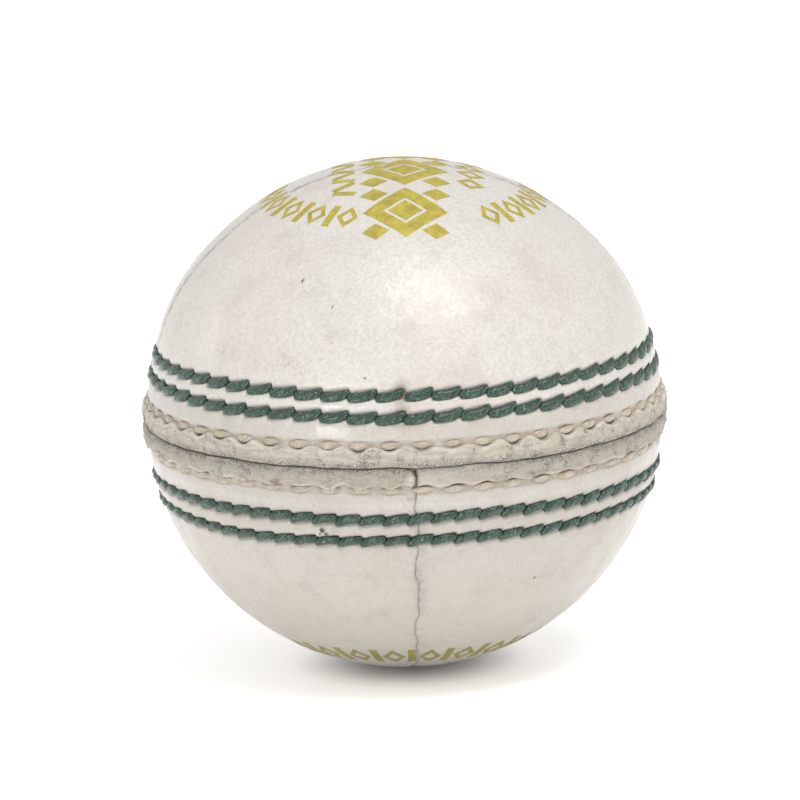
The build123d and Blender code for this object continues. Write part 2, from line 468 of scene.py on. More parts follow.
def shape_quarter(obj, half, seam_normal, cover, threads):
    """Moves the outside of a quarter to its relief and stores the masks that its material reads.

    The points arrive in millimetres, in the upper half, and leave in metres in their own half.
    """
    mesh = obj.data
    radius = cover.radius / MM
    offset = radius - POLE_HEIGHT
    points = read_points(mesh)
    if half == "upper":
        points = lean_quarter(points, seam_normal, offset)
    else:
        points = points * (1, -1, -1)
    side = 1.0 if half == "upper" else -1.0
    centre = np.array((0.0, 0.0, -offset * side))
    outward = points - centre
    length = np.linalg.norm(outward, axis=1)
    outside = length > radius - 0.02
    outward /= np.maximum(length, 1e-9)[:, None]
    theta = np.arctan2(points[:, 1], points[:, 0])
    z = points[:, 2]
    height = np.abs(z)
    across_seam = (points - centre) @ seam_normal

    # The quarter seam isn't quite straight; both of its quarters take the same wave
    along = np.cross(seam_normal, (0, 0, 1))
    travel = outward @ along if half == "upper" else outward[:, 2]
    wave = 0.22 * np.sin(21 * travel + 1.0) + 0.13 * np.sin(47 * travel)
    wave = wave + 0.07 * np.sin(90 * travel + 2)
    wave *= bell(across_seam, 3.0) * smooth(3.0, 6.0, height)
    shift = wave[:, None] * seam_normal
    # The edges of the cups aren't quite level; both cups take the same wave
    shift[:, 2] += 0.10 * ring_wave(theta, 4, 48, "main seam") * bell(height, 1.7)

    lip_relief, lip, crease, rim = lip_of_half(
        half, points, theta, height, across_seam, cover.lip / MM)
    row_depth, soil, stain = rows_of_half(half, theta, z, radius, threads.slant)
    crack = 0.75 * bell(across_seam, 0.16) + 0.20 * bell(across_seam, 0.40)
    crack = 0.55 * crack * (1.0 - 0.5 * lip)
    crack = np.maximum(crack, 0.62 * (1.0 - smooth(0.03, 0.20, height)))
    smear = bell(across_seam - 0.30, 0.85) * smooth(4.0, 12.0, height)
    blot = grit_mask(points, centre, radius)

    relief = np.where(height < LIP_REACH, lip_relief, 0.0) + row_depth
    relief = relief - 0.13 * bell(across_seam, 0.20) - 0.04 * bell(across_seam, 1.5)
    relief = relief + 0.10 * field(points, 15.0, 1, 3.0) + 0.032 * field(points, 3.6, 3, 9.0)
    rough = field(points, 0.9, 2, 5.0)
    ragged = field(points * (1.0, 1.0, 1.6), 1.5, 3, 2.0) * lip * smooth(0.1, 0.6, height)
    relief = relief + (0.015 + 0.12 * lip) * rough + 0.15 * ragged + 0.10 * blot
    if half == "upper":
        relief = relief + 0.45 * bell(z - 19.0, 8.5)
    fade = smooth(radius - 0.8, radius - 0.02, length)
    points = points + outward * (relief * fade * outside)[:, None] + shift
    write_points(mesh, points * MM)

    masks = {
        "lip": lip, "crease": crease, "rim": rim, "soil": soil, "stain": stain, "smear": smear,
        "handled": grime_and_shade_mask(z), "blot": blot, "crack": crack,
    }
    for name, values in masks.items():
        write_mask(mesh, name, values * outside)


# ---- Node helpers -------------------------------------------------------------------------


def new_material(name):
    """A material with a Principled shader, and its node tree's helper."""
    material = bpy.data.materials.new(name)
    material.use_nodes = True
    tree = material.node_tree
    shader = tree.nodes["Principled BSDF"]
    return material, Nodes(tree), shader


class Nodes:
    """Adds nodes to a tree and links them, so that a material reads as a list of steps."""

    def __init__(self, tree):
        self.tree = tree

    def add(self, kind, **settings):
        node = self.tree.nodes.new(kind)
        for name, value in settings.items():
            setattr(node, name, value)
        return node

    def put(self, value, socket):
        """Links a socket to a socket, or sets a socket's own value."""
        if isinstance(value, bpy.types.NodeSocket):
            self.tree.links.new(value, socket)
        elif socket.type == "RGBA" and len(value) == 3:
            socket.default_value = (*value, 1.0)
        else:
            socket.default_value = value

    def math(self, operation, a, b=0.0, clamp=False):
        node = self.add("ShaderNodeMath", operation=operation, use_clamp=clamp)
        self.put(a, node.inputs[0])
        self.put(b, node.inputs[1])
        return node.outputs[0]

    def times(self, a, b):
        return self.math("MULTIPLY", a, b)

    def plus(self, a, b):
        return self.math("ADD", a, b)

    def ramp(self, value, low, high, to_low=0.0, to_high=1.0):
        """An even step of a value from one range to another."""
        node = self.add("ShaderNodeMapRange", interpolation_type="SMOOTHSTEP")
        for socket, number in zip(node.inputs, (value, low, high, to_low, to_high)):
            self.put(number, socket)
        return node.outputs["Result"]

    def mix(self, amount, a, b):
        """A colour between two. Sockets 6 and 7 are the Mix node's colour inputs."""
        node = self.add("ShaderNodeMix", data_type="RGBA", clamp_factor=True)
        self.put(amount, node.inputs["Factor"])
        self.put(a, node.inputs[6])
        self.put(b, node.inputs[7])
        return node.outputs[2]

    def tint(self, base, mask, amount, colour):
        """Lays a colour over another one, as far as a mask times an amount says."""
        return self.mix(self.times(mask, amount), base, colour)

    def noise(self, vector, scale, detail=2.0, roughness=0.5, distortion=0.0):
        node = self.add("ShaderNodeTexNoise")
        settings = {
            "Vector": vector, "Scale": scale, "Detail": detail, "Roughness": roughness,
            "Distortion": distortion,
        }
        for label, value in settings.items():
            self.put(value, node.inputs[label])
        return node.outputs["Fac"]

    def cells(self, vector, scale):
        node = self.add("ShaderNodeTexVoronoi")
        self.put(vector, node.inputs["Vector"])
        self.put(scale, node.inputs["Scale"])
        return node.outputs["Distance"]

    def place(self):
        return self.add("ShaderNodeTexCoord").outputs["Object"]

    def mask(self, name):
        return self.add("ShaderNodeAttribute", attribute_name=name).outputs["Fac"]

    def bump(self, height, strength, distance, normal=None):
        node = self.add("ShaderNodeBump")
        self.put(height, node.inputs["Height"])
        self.put(strength, node.inputs["Strength"])
        self.put(distance, node.inputs["Distance"])
        if normal is not None:
            self.put(normal, node.inputs["Normal"])
        return node.outputs["Normal"]

    def dress(self, shader, colour, rough, normal):
        """Gives a shader its colour, roughness and normal."""
        for label, value in (("Base Color", colour), ("Roughness", rough), ("Normal", normal)):
            self.put(value, shader.inputs[label])

    def group(self, tree, **inputs):
        node = self.add("ShaderNodeGroup", node_tree=tree)
        for name, value in inputs.items():
            self.put(value, node.inputs[name.replace("_", " ")])
        return node.outputs


def new_group(name, inputs, outputs):
    """A shader node group. inputs: name to (socket type, default). outputs: name to type."""
    tree = bpy.data.node_groups.new(name, "ShaderNodeTree")
    for label, (kind, default) in inputs.items():
        socket = tree.interface.new_socket(label, in_out="INPUT", socket_type=kind)
        socket.default_value = default
    for label, kind in outputs.items():
        tree.interface.new_socket(label, in_out="OUTPUT", socket_type=kind)
    nodes = Nodes(tree)
    entry = nodes.add("NodeGroupInput").outputs
    leave = nodes.add("NodeGroupOutput").inputs
    return tree, nodes, entry, leave


NUMBER = "NodeSocketFloat"


def grain_group():
    """Fine pores and creases of a hide. Puts out a height for a Bump node."""
    if "Hide grain" in bpy.data.node_groups:
        return bpy.data.node_groups["Hide grain"]
    tree, nodes, entry, leave = new_group(
        "Hide grain", {"Pore Scale": (NUMBER, 1800.0), "Wrinkle Scale": (NUMBER, 420.0)},
        {"Height": NUMBER})
    place = nodes.place()
    pores = nodes.cells(place, entry["Pore Scale"])
    fine = nodes.noise(place, entry["Pore Scale"], 3.0, 0.6)
    wrinkle = nodes.noise(place, entry["Wrinkle Scale"], 4.0, 0.55, 0.6)
    pits = nodes.times(pores, 0.25)
    height = nodes.plus(pits, nodes.times(fine, 0.5))
    nodes.put(nodes.plus(height, nodes.times(wrinkle, 1.5)), leave["Height"])
    return tree


def speckle_group():
    """Scattered dark specks of dirt, denser where a patchy noise says so."""
    if "Dirt specks" in bpy.data.node_groups:
        return bpy.data.node_groups["Dirt specks"]
    tree, nodes, entry, leave = new_group(
        "Dirt specks",
        {"Scale": (NUMBER, 700.0), "Patch Scale": (NUMBER, 90.0), "Amount": (NUMBER, 0.5)},
        {"Specks": NUMBER})
    place = nodes.place()
    dots = nodes.noise(place, entry["Scale"], 3.0, 0.75)
    patches = nodes.noise(place, entry["Patch Scale"], 2.0, 0.6)
    level = nodes.math("SUBTRACT", 0.98, nodes.times(entry["Amount"], patches))
    nodes.put(nodes.ramp(nodes.math("SUBTRACT", dots, level), -0.04, 0.08), leave["Specks"])
    return tree


def streak_group():
    """Creases and dirt drawn out along the main seam, from the azimuth and the height."""
    if "Seam streaks" in bpy.data.node_groups:
        return bpy.data.node_groups["Seam streaks"]
    tree, nodes, entry, leave = new_group(
        "Seam streaks", {"Scale": (NUMBER, 900.0), "Stretch": (NUMBER, 0.25)},
        {"Streaks": NUMBER, "Near Seam": NUMBER})
    parts = nodes.add("ShaderNodeSeparateXYZ")
    nodes.put(nodes.place(), parts.inputs[0])
    azimuth = nodes.math("ARCTAN2", parts.outputs["Y"], parts.outputs["X"])
    arc = nodes.times(nodes.times(azimuth, 36.0 * MM), entry["Stretch"])
    together = nodes.add("ShaderNodeCombineXYZ")
    nodes.put(arc, together.inputs["X"])
    nodes.put(parts.outputs["Z"], together.inputs["Y"])
    nodes.put(nodes.noise(together.outputs[0], entry["Scale"], 4.0, 0.65, 0.4), leave["Streaks"])
    height = nodes.math("ABSOLUTE", parts.outputs["Z"])
    nodes.put(nodes.ramp(height, 0.1 * MM, 1.5 * MM, 1.0, 0.0), leave["Near Seam"])
    return tree


def specks(nodes, scale, patch_scale, amount):
    tree = speckle_group()
    return nodes.group(tree, Scale=scale, Patch_Scale=patch_scale, Amount=amount)["Specks"]


def hide_colour(nodes, place, cover):
    """Lacquered white hide: pink and grey clouds, a fine mottle, specks and the blue smear."""
    pink = nodes.ramp(nodes.noise(place, 85.0, 3.0, 0.6), 0.45, 0.72)
    grey = nodes.ramp(nodes.noise(place, 170.0, 4.0, 0.65), 0.48, 0.75)
    mottle = nodes.ramp(nodes.noise(place, 1900.0, 3.0, 0.7), 0.36, 0.68)
    fine = nodes.ramp(nodes.noise(place, 5200.0, 2.0, 0.7), 0.52, 0.76)
    patchy = nodes.ramp(nodes.noise(place, 900.0, 4.0, 0.75), 0.42, 0.60)
    smear = nodes.times(nodes.mask("smear"), patchy)
    colour = tuple(cover.colour)
    for mask, amount, tint in (
        (pink, 0.45, (0.62, 0.50, 0.43)),
        (grey, 0.42, (0.47, 0.455, 0.435)),
        (mottle, 0.50, (0.46, 0.43, 0.39)),
        (fine, 0.48, (0.36, 0.335, 0.30)),
        (specks(nodes, 3400.0, 190.0, 0.56), 0.55, (0.15, 0.14, 0.125)),
        (specks(nodes, 1300.0, 260.0, 0.43), 0.75, (0.07, 0.065, 0.06)),
        (smear, 0.80, (0.25, 0.265, 0.30)),
    ):
        colour = nodes.tint(colour, mask, amount, tint)
    return colour


def worn_lip_colour(nodes, place, cover, handled, streaks):
    """Bare leather of the lips: drawn-out streaks, a painted highlight along the rim and dark dirt
    near the seam.
    """
    drawn = streaks["Streaks"]
    tone = nodes.mix(nodes.ramp(drawn, 0.35, 0.62), (0.49, 0.43, 0.345), tuple(cover.lip_colour))
    tan = nodes.ramp(nodes.noise(place, 330.0, 3.0, 0.65), 0.50, 0.72)
    tone = nodes.tint(tone, tan, 0.45, (0.40, 0.31, 0.21))
    # Soiling and painted shade: the lower lip is darker.
    tone = nodes.mix(handled, tone, (0.38, 0.345, 0.285))
    # Painted highlight: a pale band along the lips' rims
    rim = nodes.times(nodes.mask("rim"), nodes.ramp(drawn, 0.35, 0.60, 0.15, 0.75))
    tone = nodes.mix(rim, tone, (0.74, 0.70, 0.63))
    tone = nodes.tint(tone, specks(nodes, 5600.0, 600.0, 0.765), 0.75, (0.07, 0.068, 0.063))
    grit = nodes.ramp(nodes.noise(place, 4200.0, 4.0, 0.8), 0.46, 0.52)
    grime = nodes.times(streaks["Near Seam"], nodes.ramp(drawn, 0.38, 0.50))
    grime = nodes.times(grime, grit)
    return nodes.tint(tone, grime, 0.90, (0.055, 0.054, 0.052))


def cover_material(cover):
    """Lacquered white hide, yellowed, soiled and painted with shade towards the lower pole, in the
    grooves and in the creases, with a painted highlight on the lip rims, bare dirty lips and dark
    cracks.
    """
    if "Cover leather" in bpy.data.materials:
        return bpy.data.materials["Cover leather"]
    material, nodes, shader = new_material("Cover leather")
    place = nodes.place()
    lip = nodes.mask("lip")
    grain = nodes.group(grain_group(), Pore_Scale=2300.0, Wrinkle_Scale=420.0)
    streaks = nodes.group(streak_group(), Scale=1500.0, Stretch=0.22)

    # Soiling and painted shade: darker towards the lower pole and by the lips, partly in clouds.
    handled = nodes.times(nodes.mask("handled"), 0.85)
    clouds = nodes.ramp(nodes.noise(place, 240.0, 5.0, 0.72), 0.48, 0.68)
    smudge_and_shade = nodes.times(handled, clouds)
    colour = hide_colour(nodes, place, cover)
    colour = nodes.mix(handled, colour, (0.36, 0.325, 0.27))
    colour = nodes.tint(colour, smudge_and_shade, 0.55, (0.33, 0.295, 0.26))
    lip_tone = worn_lip_colour(nodes, place, cover, handled, streaks)
    colour = nodes.tint(colour, lip, 0.9, lip_tone)
    # Brown dirt and painted shade in the crease behind each lip, broken by the streaks
    crease_darkening = nodes.ramp(streaks["Streaks"], 0.30, 0.60, 0.20, 0.66)
    crease_darkening = nodes.times(nodes.mask("crease"), crease_darkening)
    colour = nodes.mix(crease_darkening, colour, (0.33, 0.235, 0.145))
    # Painted shade: a grey-green darkening in the rows' grooves and holes
    colour = nodes.tint(colour, nodes.mask("soil"), 0.42, (0.14, 0.155, 0.13))
    colour = nodes.tint(colour, nodes.mask("stain"), 0.9, (0.13, 0.085, 0.05))
    colour = nodes.tint(colour, nodes.mask("blot"), 0.97, (0.012, 0.011, 0.010))
    broken = nodes.ramp(nodes.noise(place, 700.0, 3.0, 0.7), 0.25, 0.6, 0.35, 1.0)
    colour = nodes.tint(colour, nodes.mask("crack"), broken, (0.20, 0.175, 0.16))

    rough = nodes.ramp(nodes.noise(place, 300.0, 3.0, 0.6), 0.3, 0.7, 0.30, 0.48)
    rough = nodes.math("ADD", rough, nodes.times(lip, 0.25), clamp=True)
    coat = nodes.math("SUBTRACT", 0.20, nodes.times(lip, 0.11), clamp=True)
    nodes.put(coat, shader.inputs["Coat Weight"])
    shader.inputs["Coat Roughness"].default_value = 0.13
    normal = nodes.bump(grain["Height"], 0.8, 0.14 * MM)
    crumbs = nodes.times(nodes.noise(place, 2600.0, 4.0, 0.75), 0.7)
    wear = nodes.times(nodes.plus(streaks["Streaks"], crumbs), lip)
    nodes.dress(shader, colour, rough, nodes.bump(wear, 0.9, 0.55 * MM, normal))
    return material


def foil_material(name, light, dark):
    """Stamped foil, rubbed thin in specks so that the hide shows through."""
    if name in bpy.data.materials:
        return bpy.data.materials[name]
    material, nodes, shader = new_material(name)
    place = nodes.place()
    grain = nodes.group(grain_group(), Pore_Scale=2300.0, Wrinkle_Scale=420.0)
    patches = nodes.noise(place, 600.0, 4.0, 0.7)
    tone = nodes.mix(nodes.ramp(patches, 0.35, 0.65), dark, light)
    rough = nodes.ramp(patches, 0.3, 0.7, 0.42, 0.62)
    nodes.dress(shader, tone, rough, nodes.bump(grain["Height"], 0.6, 0.09 * MM))
    nodes.put(0.25, shader.inputs["Metallic"])
    worn = specks(nodes, 2600.0, 300.0, 0.62)
    nodes.put(nodes.math("SUBTRACT", 1.0, worn, clamp=True), shader.inputs["Alpha"])
    return material


def thread_material(name, colour, dark, light, rough):
    """Twisted thread: plies run slantwise along each stitch's own UV map."""
    if name in bpy.data.materials:
        return bpy.data.materials[name]
    material, nodes, shader = new_material(name)
    place = nodes.place()
    along = nodes.add("ShaderNodeUVMap", uv_map="strand").outputs["UV"]
    parts = nodes.add("ShaderNodeSeparateXYZ")
    nodes.put(along, parts.inputs[0])
    turn = nodes.plus(nodes.times(parts.outputs["X"], 6.0), nodes.times(parts.outputs["Y"], 8.0))
    stray = nodes.times(nodes.noise(place, 700.0, 2.0, 0.6), 1.4)
    plies = nodes.math("SINE", nodes.times(nodes.plus(turn, stray), 2 * math.pi))
    plies = nodes.ramp(plies, -1.0, 1.0)
    patches = nodes.noise(place, 1300.0, 3.0, 0.65)
    drawn = nodes.add("ShaderNodeCombineXYZ")
    nodes.put(nodes.times(parts.outputs["X"], 2.5), drawn.inputs["X"])
    nodes.put(nodes.times(turn, 0.5), drawn.inputs["Y"])
    nodes.put(stray, drawn.inputs["Z"])
    fibres = nodes.noise(drawn.outputs[0], 2.2, 4.0, 0.75)
    tone = nodes.mix(nodes.ramp(patches, 0.30, 0.70), dark, colour)
    tone = nodes.tint(tone, plies, 0.60, dark)
    tone = nodes.mix(nodes.ramp(fibres, 0.46, 0.68, 0.0, 0.75), tone, light)
    # Painted glints: pale specks in the colour stand in for highlights on the thread
    glints = nodes.ramp(nodes.noise(place, 2900.0, 2.0, 0.6), 0.66, 0.74)
    tone = nodes.tint(tone, glints, 0.7, (0.60, 0.64, 0.60))
    rough = nodes.ramp(patches, 0.3, 0.7, rough - 0.12, rough + 0.14)
    shader.inputs["Coat Weight"].default_value = 0.3
    shader.inputs["Coat Roughness"].default_value = 0.16
    height = nodes.plus(plies, nodes.times(fibres, 1.5))
    nodes.dress(shader, tone, rough, nodes.bump(height, 0.9, 0.17 * MM))
    return material


def granular_material(name, light, dark, scale):
    """Pressed cork or wound wool: grains or strands in mixed tones, with a bump to match."""
    if name in bpy.data.materials:
        return bpy.data.materials[name]
    material, nodes, shader = new_material(name)
    place = nodes.place()
    grains = nodes.cells(place, scale)
    tones = nodes.noise(place, scale * 0.6, 4.0, 0.7, 0.8)
    colour = nodes.mix(nodes.ramp(tones, 0.3, 0.7), dark, light)
    colour = nodes.mix(nodes.ramp(grains, 0.35, 0.75, 0.0, 0.5), colour, dark)
    rough = nodes.ramp(tones, 0.3, 0.7, 0.75, 0.95)
    nodes.dress(shader, colour, rough, nodes.bump(nodes.plus(grains, tones), 0.8, 0.3 * MM))
    return material


def strand_material(name, light, dark, turns):
    """Wound or twisted yarn: bands that wander round the ball, crossed by finer fibres."""
    if name in bpy.data.materials:
        return bpy.data.materials[name]
    material, nodes, shader = new_material(name)
    place = nodes.place()
    bands = nodes.add("ShaderNodeTexWave", wave_type="BANDS", bands_direction="DIAGONAL")
    nodes.put(place, bands.inputs["Vector"])
    wander = {"Scale": turns, "Distortion": 3.0, "Detail": 3.0, "Detail Scale": 2.0}
    for label, value in wander.items():
        nodes.put(value, bands.inputs[label])
    wound = bands.outputs["Fac"]
    fibres = nodes.noise(place, turns * 9.0, 3.0, 0.7)
    colour = nodes.mix(wound, dark, light)
    colour = nodes.mix(nodes.ramp(fibres, 0.4, 0.7, 0.0, 0.35), colour, dark)
    rough = nodes.ramp(fibres, 0.3, 0.7, 0.7, 0.9)
    nodes.dress(shader, colour, rough, nodes.bump(nodes.plus(wound, fibres), 0.8, 0.25 * MM))
    return material


def inner_material(node):
    """The material of a CAD node that stays: the core, the linings and the hidden threads."""
    if node == "cork_nucleus":
        looks = ("Cork and rubber", (0.36, 0.20, 0.11), (0.10, 0.055, 0.035), 1100.0)
        return granular_material(*looks)
    if node.startswith("cork_layer"):
        return granular_material("Cork wafer", (0.56, 0.36, 0.20), (0.27, 0.15, 0.08), 800.0)
    if node.startswith("winding_layer"):
        return strand_material("Wool yarn", (0.60, 0.50, 0.37), (0.33, 0.25, 0.16), 260.0)
    if node.endswith("lining_strip"):
        looks = ("Lining leather", (0.60, 0.44, 0.28), (0.42, 0.29, 0.17), 1600.0)
        return granular_material(*looks)
    return strand_material("Waxed linen", (0.74, 0.66, 0.52), (0.45, 0.37, 0.26), 1500.0)


# ---- Stitches -----------------------------------------------------------------------------


def strand_path(t, pitch, kind):
    """Centre line of a stitch at 0 to 1 along it, in its own place, and its radius factor.

    x runs along the row, y up the ball, z out of the leather.
    """
    half = pitch / 2
    if kind == "row":
        x = -half - 0.34 + (pitch + 0.66) * t
        y = -0.02 - 0.20 * np.sin(math.pi * t) + 0.46 * smooth(0.62, 1.05, t)
        z = -0.62 + 0.42 * smooth(-0.05, 0.26, t) - 0.28 * smooth(0.80, 1.05, t)
        size = 0.64 + 0.42 * smooth(-0.05, 0.26, t) - 0.62 * smooth(0.70, 1.06, t)
    else:
        bow = np.sin(math.pi * np.clip(t, 0.0, 1.0))
        x = -half * 0.94 + pitch * 0.94 * t
        y = 0.0 * t
        z = -0.66 + 0.60 * bow**0.7
        size = 0.28 + 0.72 * bow**0.75
    return x, y, z, size


def make_strand(pitch, radius, kind):
    """One stitch: a ring extruded along x in steps, then shaped to its path and taper."""
    sides = 10
    rings = 9
    nothing_selected()
    bpy.ops.mesh.primitive_circle_add(vertices=sides, radius=radius, fill_type="NGON")
    obj = bpy.context.object
    edit(obj)
    for _ in range(rings - 1):
        bpy.ops.mesh.extrude_region_move(TRANSFORM_OT_translate={"value": (0, 0, 1.0)})
    bpy.ops.object.mode_set(mode="OBJECT")
    mesh = obj.data
    points = read_points(mesh)
    step = np.rint(points[:, 2])
    around = np.arctan2(points[:, 1], points[:, 0])
    t = step / (rings - 1)
    x, y, z, size = strand_path(t, pitch, kind)
    flat = 0.86 if kind == "row" else 0.72
    y = y + radius * size * np.cos(around)
    z = z + radius * size * np.sin(around) * flat
    write_points(mesh, np.stack([x, y, z], axis=1))
    layer = mesh.uv_layers.new(name="strand")
    for loop in mesh.loops:
        i = loop.vertex_index
        layer.data[loop.index].uv = (t[i], around[i] / (2 * math.pi))
    for polygon in mesh.polygons:
        turns = [layer.data[i].uv[1] for i in polygon.loop_indices]
        if len(turns) == 4 and max(turns) - min(turns) > 0.5:
            for i in polygon.loop_indices:
                if layer.data[i].uv[1] < 0:
                    layer.data[i].uv[1] += 1.0
    edit(obj)
    bpy.ops.mesh.normals_make_consistent(inside=False)
    bpy.ops.object.mode_set(mode="OBJECT")
    return obj


def stitch_matrix(theta, z, lift, tilt, cover):
    """The place of a stitch on the leather, in millimetres. Those of the lower cup are turned."""
    radius = cover.radius / MM
    offset = radius - POLE_HEIGHT
    side = 1.0 if z > 0 else -1.0
    run = math.sqrt(radius**2 - (abs(z) + offset) ** 2)
    east = Vector((-math.sin(theta), math.cos(theta), 0))
    x, y = run * math.cos(theta), run * math.sin(theta)
    out = Vector((x, y, side * (abs(z) + offset))).normalized()
    spot = Vector((x, y, z)) + out * lift
    axes = Matrix((east, out.cross(east), out)).transposed().to_4x4()
    turn = Matrix.Rotation(tilt + (0.0 if z > 0 else math.pi), 4, "Z")
    return Matrix.Translation(spot) @ axes @ turn


def copy_and_join(name, placed):
    """Copies each pattern to its place and joins the copies to one piece."""
    copies = []
    for pattern, matrix in placed:
        copy = pattern.copy()
        copy.data = pattern.data.copy()
        copy.data.transform(matrix)
        bpy.context.collection.objects.link(copy)
        copies.append(copy)
    nothing_selected()
    for copy in copies:
        copy.select_set(True)
    bpy.context.view_layer.objects.active = copies[0]
    bpy.ops.object.join()
    piece = bpy.context.object
    piece.name = piece.data.name = name
    for pattern in {pattern for pattern, _ in placed}:
        bpy.data.objects.remove(pattern)
    return piece


def lay_stitches(name, strand, places):
    """Copies a stitch to each place, joins the copies to one piece and smooths it."""
    piece = copy_and_join(name, [(strand, place) for place in places])
    piece.data.transform(Matrix.Scale(MM, 4))
    modifier = piece.modifiers.new("Subdivision", "SUBSURF")
    modifier.levels = modifier.render_levels = 1
    bpy.ops.object.modifier_apply(modifier=modifier.name)
    bpy.ops.object.shade_smooth()
    return piece


# ---- Operators ----------------------------------------------------------------------------


class BALL_OT_cover(bpy.types.Operator):
    """Make the four leather quarters, with their lips and the marks of the stitching"""

    bl_idname = "ball.cover"
    bl_label = "Leather cover"

    def execute(self, context):
        cover, threads = context.scene.ball_cover, context.scene.ball_threads
        radius = cover.radius / MM
        lean, turn = UPPER_SEAM_LEAN, UPPER_SEAM_TURN
        # The lower quarters are spun in the upper half and turned over about X
        starts = {
            "upper_front_quarter": math.pi + turn,
            "upper_back_quarter": turn,
            "lower_right_quarter": -math.pi / 2 - LOWER_SEAM_TURN,
            "lower_left_quarter": math.pi / 2 - LOWER_SEAM_TURN,
        }
        level = np.array((-math.sin(turn), math.cos(turn), 0.0))
        normals = {
            "upper": level * math.cos(lean) + (0.0, 0.0, math.sin(lean)),
            "lower": np.array((math.cos(LOWER_SEAM_TURN), math.sin(LOWER_SEAM_TURN), 0.0)),
        }
        for node, start in starts.items():
            half = node.split("_")[0]
            obj = half_bowl(
                node + "_leather", start, radius, radius - POLE_HEIGHT, cover.thickness / MM,
                cover.columns)
            shape_quarter(obj, half, normals[half], cover, threads)
            obj.data.materials.append(cover_material(cover))
            select_only(obj)
            bpy.ops.object.shade_smooth()
            finish_piece(obj, "cover_leather", node)
        return {"FINISHED"}


# Foil ornaments, laid out flat round a pole: millimetres to the right and to the back.
# Each is (kind, along x, along y, turn in degrees, width, length).


def band_marks():
    """A band of lozenges over the pole, with a column of small marks on each side of it."""
    marks = []
    for y in (-16.6, -4.4, 7.8, 20.0):
        marks += [("ring", 0.9, y, 0, 12.2, 11.4), ("gem", 0.9, y, 0, 5.0, 4.6)]
        for x in (-3.5, 5.3):
            marks += [("gem", x, y - 4.2, 0, 4.0, 3.2), ("gem", x, y + 4.2, 0, 4.0, 3.2)]
    for i in range(8):
        marks.append(("bar", -7.7, -10.6 + 2.1 * i, 24 if i % 2 else -24, 3.4, 1.0))
    for i in range(4):
        marks.append(("ring", 10.2, -7.2 + 3.9 * i, 0, 4.2, 3.6))
    return marks


def arc_marks(radius, length, first, last, step):
    """Bars and lozenges by turns on a circle round a pole, between two azimuths from the front."""
    marks = []
    count = round(abs(last - first) / step)
    for i in range(count + 1):
        azimuth = first + (last - first) * i / count
        angle = math.radians(azimuth - 90)
        kind, width = ("bar", 1.15) if i % 2 else ("ring", 3.3)
        x, y = radius * math.cos(angle), radius * math.sin(angle)
        marks.append((kind, x, y, azimuth, width, length))
    return marks


def flat_mark(kind):
    """A flat outline one unit wide and long, with enough faces to follow the ball."""
    nothing_selected()
    if kind == "bar":
        bpy.ops.mesh.primitive_plane_add(size=1.0)
        obj = bpy.context.object
        edit(obj)
        bpy.ops.mesh.subdivide(number_cuts=3)
    else:
        bpy.ops.mesh.primitive_circle_add(vertices=4, radius=0.5, fill_type="NGON")
        obj = bpy.context.object
        edit(obj)
        if kind == "ring":
            bpy.ops.mesh.inset(thickness=0.17)
            bpy.ops.mesh.delete(type="ONLY_FACE")
        bpy.ops.mesh.select_all(action="SELECT")
        bpy.ops.mesh.subdivide(number_cuts=7 if kind == "ring" else 4)
    bpy.ops.object.mode_set(mode="OBJECT")
    return obj


def lay_foil(name, marks, leathers, half, cover):
    """Lays flat marks on the leather of a cup, by dropping each point towards the cup's centre."""
    patterns = {kind: flat_mark(kind) for kind in sorted({mark[0] for mark in marks})}
    placed = []
    for kind, x, y, turn, width, length in marks:
        matrix = Matrix.Translation((x, y, 0)) @ Matrix.Rotation(math.radians(turn), 4, "Z")
        matrix = matrix @ Matrix.Diagonal((width, length, 1.0, 1.0))
        placed.append((patterns[kind], matrix))
    piece = copy_and_join(name, placed)
    side = 1.0 if half == "upper" else -1.0
    centre = Vector((0, 0, -side * (cover.radius - POLE_HEIGHT * MM)))
    for vertex in piece.data.vertices:
        reach = math.hypot(vertex.co.x, vertex.co.y)
        polar = reach * MM / cover.radius
        flat = Vector((vertex.co.x, vertex.co.y, 0)) / max(reach, 1e-6)
        away = flat * math.sin(polar) + Vector((0, 0, side * math.cos(polar)))
        found = cover.radius
        for leather in leathers:
            hit, place, _, _ = leather.ray_cast(centre + away * cover.radius * 1.1, -away)
            if hit and (place - centre).length > cover.radius * 0.98:
                found = (place - centre).length
        vertex.co = centre + away * (found + 0.03 * MM)
    if half == "lower":
        edit(piece)
        bpy.ops.mesh.flip_normals()
        bpy.ops.object.mode_set(mode="OBJECT")
    modifier = piece.modifiers.new("Foil", "SOLIDIFY")
    modifier.thickness = 0.02 * MM
    modifier.offset = -1.0
    bpy.ops.object.modifier_apply(modifier=modifier.name)
    if half == "upper":
        foil = foil_material("Stamped foil", tuple(cover.foil_colour), (0.36, 0.295, 0.04))
    else:
        foil = foil_material("Dull foil", (0.30, 0.25, 0.045), (0.19, 0.16, 0.035))
    piece.data.materials.append(foil)
    nothing_selected()
    return piece


class BALL_OT_foil(bpy.types.Operator):
    """Lay the stamped foil ornaments on the two cups"""

    bl_idname = "ball.foil"
    bl_label = "Foil ornaments"

    def execute(self, context):
        cover = context.scene.ball_cover
        left_arc = arc_marks(18.3, 4.4, -24, -156, 8.0)
        right_arc = arc_marks(19.7, 4.4, 42, 140, 7.5)
        upper = band_marks() + left_arc + right_arc
        lower = arc_marks(18.8, 5.6, -55, 71, 8.0)
        for half, marks in (("upper", upper), ("lower", lower)):
            leathers = [o for o in bpy.data.objects if o.name.endswith("_quarter_leather")]
            leathers = [o for o in leathers if o.name.startswith(half)]
            context.view_layer.update()
            piece = lay_foil(half + "_foil_ornament", marks, leathers, half, cover)
            finish_piece(piece, "cover_leather")
        return {"FINISHED"}


